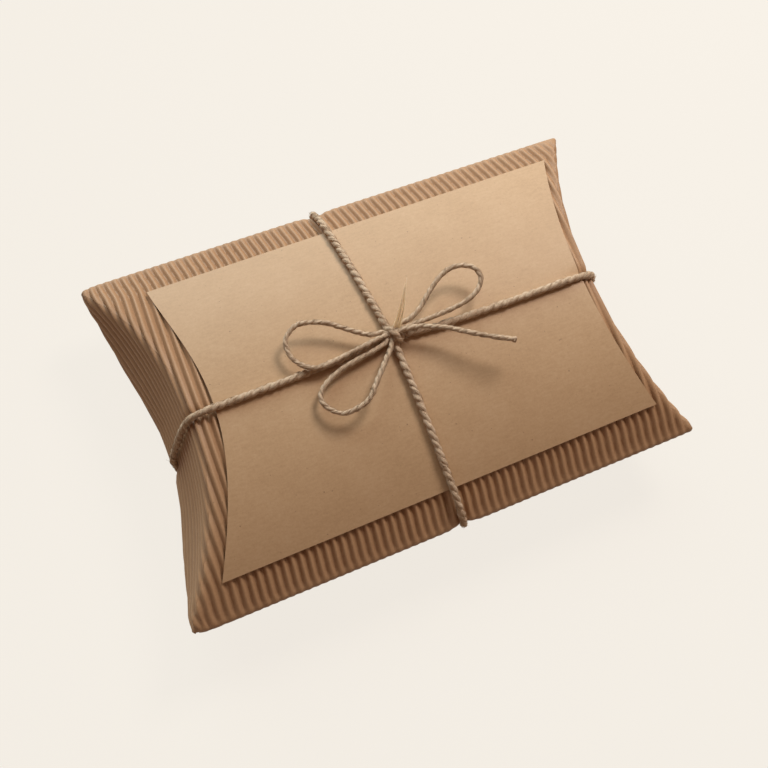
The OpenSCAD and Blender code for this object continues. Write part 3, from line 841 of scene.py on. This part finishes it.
short_tail = [[0.9, 2.0, 2.4], [1.8, 3.2, 4], [3.1, 4.9, 5.6], [4.7, 7.2, 7.6], [6.4, 10.1, 10], [8, 13, 12]]


def bow_line(route):
    """Smooth line of a loop or tail, in place."""
    return curve_through([knot + np.array(p) * mm for p in route], 6)


for name, route, node, seed in (("bow_left", left_loop, "bow_loop_left", 21),
                                ("bow_near", near_loop, "bow_loop_near", 22),
                                ("bow_right", right_loop, "bow_loop_right", 23),
                                ("bow_long_tail", long_tail, "bow_tail_long", 24)):
    line = bow_line(route)
    twine = Bundle()
    free_end = node == "bow_tail_long"
    twine.strand(line, bow_thick / 2, lay_loose, seed, hairs=7, fat_end=2.4 * mm if free_end else 0)
    piece = twine.piece(name, twine_finish)
    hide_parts(node)
    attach(piece, "box")

# The short tail has come unlaid: a flat tuft of pale fibres that runs to a point and lets light through. Its fibres
# are paler than the twine, and their colour is made paler still as painted light shining through them.
frayed_lit_finish = jute("jute_frayed_lit", (0.92, 0.83, 0.69, 1), (0.96, 0.90, 0.79, 1), (0.80, 0.67, 0.51, 1), thin=0.8)
fibres, outer_share = 14, 0.6
tail_line, _ = evenly(bow_line(short_tail), 0.5 * mm)
_, tail_side, tail_up = across(tail_line)
twine = Bundle()
rng = random.Random(5)
for i in range(fibres):
    spot = 2 * i / (fibres - 1) - 1 + rng.uniform(-0.1, 0.1)
    reach = rng.uniform(0.6, 0.95) if abs(spot) > outer_share else rng.uniform(0.85, 1.0)
    n = max(int(len(tail_line) * reach), 5)
    t = np.linspace(0, 1, n)
    wide = (1.1 - 1.04 * t * reach) * mm
    wave = 0.10 * mm * np.sin(t * rng.uniform(3, 9) + rng.uniform(0, 6))
    deep = rng.uniform(-0.05, 0.05) * mm * (1 - t)
    path = tail_line[:n] + (spot * wide + wave)[:, None] * tail_side[:n] + deep[:, None] * tail_up[:n]
    twine.tube(path, (0.14 - 0.11 * t) * mm, 5)
piece = twine.piece("bow_short_tail", frayed_lit_finish)
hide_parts("bow_tail_short")
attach(piece, "box")

# ---------------------------------------------------------------- knot
# Three tight turns of the same twine cross over the strands where they meet and pull them together.
# The last turn lies flattest, on top, and holds the roots of the loops.

wraps_at, wrap_floor = np.array([0.1 * mm, 1.5 * mm, 0]), lash_z - 0.4 * mm


def wrap(bundle, radius, minor, tilt, turn, lift, seed):
    """One turn of the knot, tilted and turned over the crossing."""
    a = np.linspace(0, 2 * np.pi, 25)
    spin = np.array(Matrix.Rotation(turn, 3, "Z") @ Matrix.Rotation(tilt, 3, "X"))
    ring = np.stack([np.cos(a) * radius, np.sin(a) * radius, np.zeros_like(a)], -1) @ spin.T
    ring += knot + wraps_at + np.array([0, 0, lift])
    ring[:, 2] = np.maximum(ring[:, 2], wrap_floor)
    bundle.strand(ring, minor, lay_loose, seed, hairs=20, hair_len=3.6)


twine = Bundle()
wrap(twine, 2.3 * mm, 0.95 * mm, math.radians(84), math.radians(118), 0.7 * mm, 31)
wrap(twine, 2.2 * mm, 0.85 * mm, math.radians(74), math.radians(-38), 0.6 * mm, 32)
wrap(twine, 1.5 * mm, 0.90 * mm, math.radians(25), math.radians(15), 1.6 * mm, 33)
piece = twine.piece("knot", twine_finish)
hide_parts("bow_knot")
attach(piece, "box")

# ---------------------------------------------------------------- floor and light
# A plain pale table that glows a little, so that only a faint shadow shows on it. A soft lamp stands at the far
# right, a wide pale sheen comes from the far side, and the room is dim and warm.


def in_view(finish):
    """1 for what the camera sees straight, in a reflection or through something."""
    straight, mirrored, through = (finish.add("ShaderNodeLightPath", {}, {}, f"Is {kind} Ray")
                                   for kind in ("Camera", "Glossy", "Transmission"))
    return (straight + mirrored + through).limited()


def way_to(azimuth, elevation):
    """Direction of a lamp; azimuth runs from +X towards +Y."""
    az, el = math.radians(azimuth), math.radians(elevation)
    return Vector((math.cos(az) * math.cos(el), math.sin(az) * math.cos(el), math.sin(el)))


def lamp(name, kind, way, distance, energy, colour):
    """A lamp that shines on the box from a given way."""
    bpy.ops.object.light_add(type=kind, location=way * distance + Vector((0, 0, mid_z)))
    light = bpy.context.object
    light.name = name
    light.data.energy = energy
    light.data.color = colour
    light.rotation_euler = way.to_track_quat("Z", "Y").to_euler()
    return light


floor_size, glow_share, lamp_distance, lamp_width, sheen_spread = 6, 0.9, 0.6, 0.21, math.radians(50)
bpy.ops.object.select_all(action="DESELECT")
bpy.ops.mesh.primitive_plane_add(size=floor_size, location=(0, 0, 0))
floor = bpy.context.object
floor.name = "floor"
table = Finish("pale_table")
table.put(table.surface, {"Base Color": (0.78, 0.72, 0.64, 1), "Roughness": 0.9, "Specular IOR Level": 0.0})
glow = table.add("ShaderNodeEmission", {}, {"Color": (0.94, 0.89, 0.816, 1), "Strength": 1.0})
both = table.add("ShaderNodeMixShader", {}, {0: in_view(table) * glow_share,
                                             1: Value(table, table.surface.outputs[0]), 2: glow})
table.put(table.output, {"Surface": both})
floor.data.materials.append(table.material)

window = lamp("window_lamp", "AREA", way_to(38, 45), lamp_distance, 2.45, (1.0, 0.97, 0.92))
window.data.shape = "DISK"
window.data.size = lamp_width
window.visible_camera = False
sheen = lamp("far_sheen", "SUN", way_to(93, 26), 1, 2.5, (0.75, 0.95, 1.0))
sheen.data.angle = sheen_spread


class Room(Finish):
    """The light of the room, built node by node as a finish is."""

    def __init__(self, world):
        world.use_nodes = True
        self.tree = world.node_tree
        self.surface = self.tree.nodes["Background"]
        self.output = self.tree.nodes["World Output"]


world = bpy.context.scene.world or bpy.data.worlds.new("room")
bpy.context.scene.world = world
room = Room(world)
room.put(room.surface, {"Color": (1.0, 0.57, 0.34, 1), "Strength": 0.148})
pale_sky = room.add("ShaderNodeBackground", {}, {"Color": (0.913, 0.863, 0.791, 1)})
seen_sky = room.add("ShaderNodeMixShader", {}, {0: in_view(room), 1: Value(room, room.surface.outputs[0]),
                                                2: pale_sky})
room.put(room.output, {"Surface": seen_sky})
bpy.context.scene.view_settings.view_transform = "Standard"
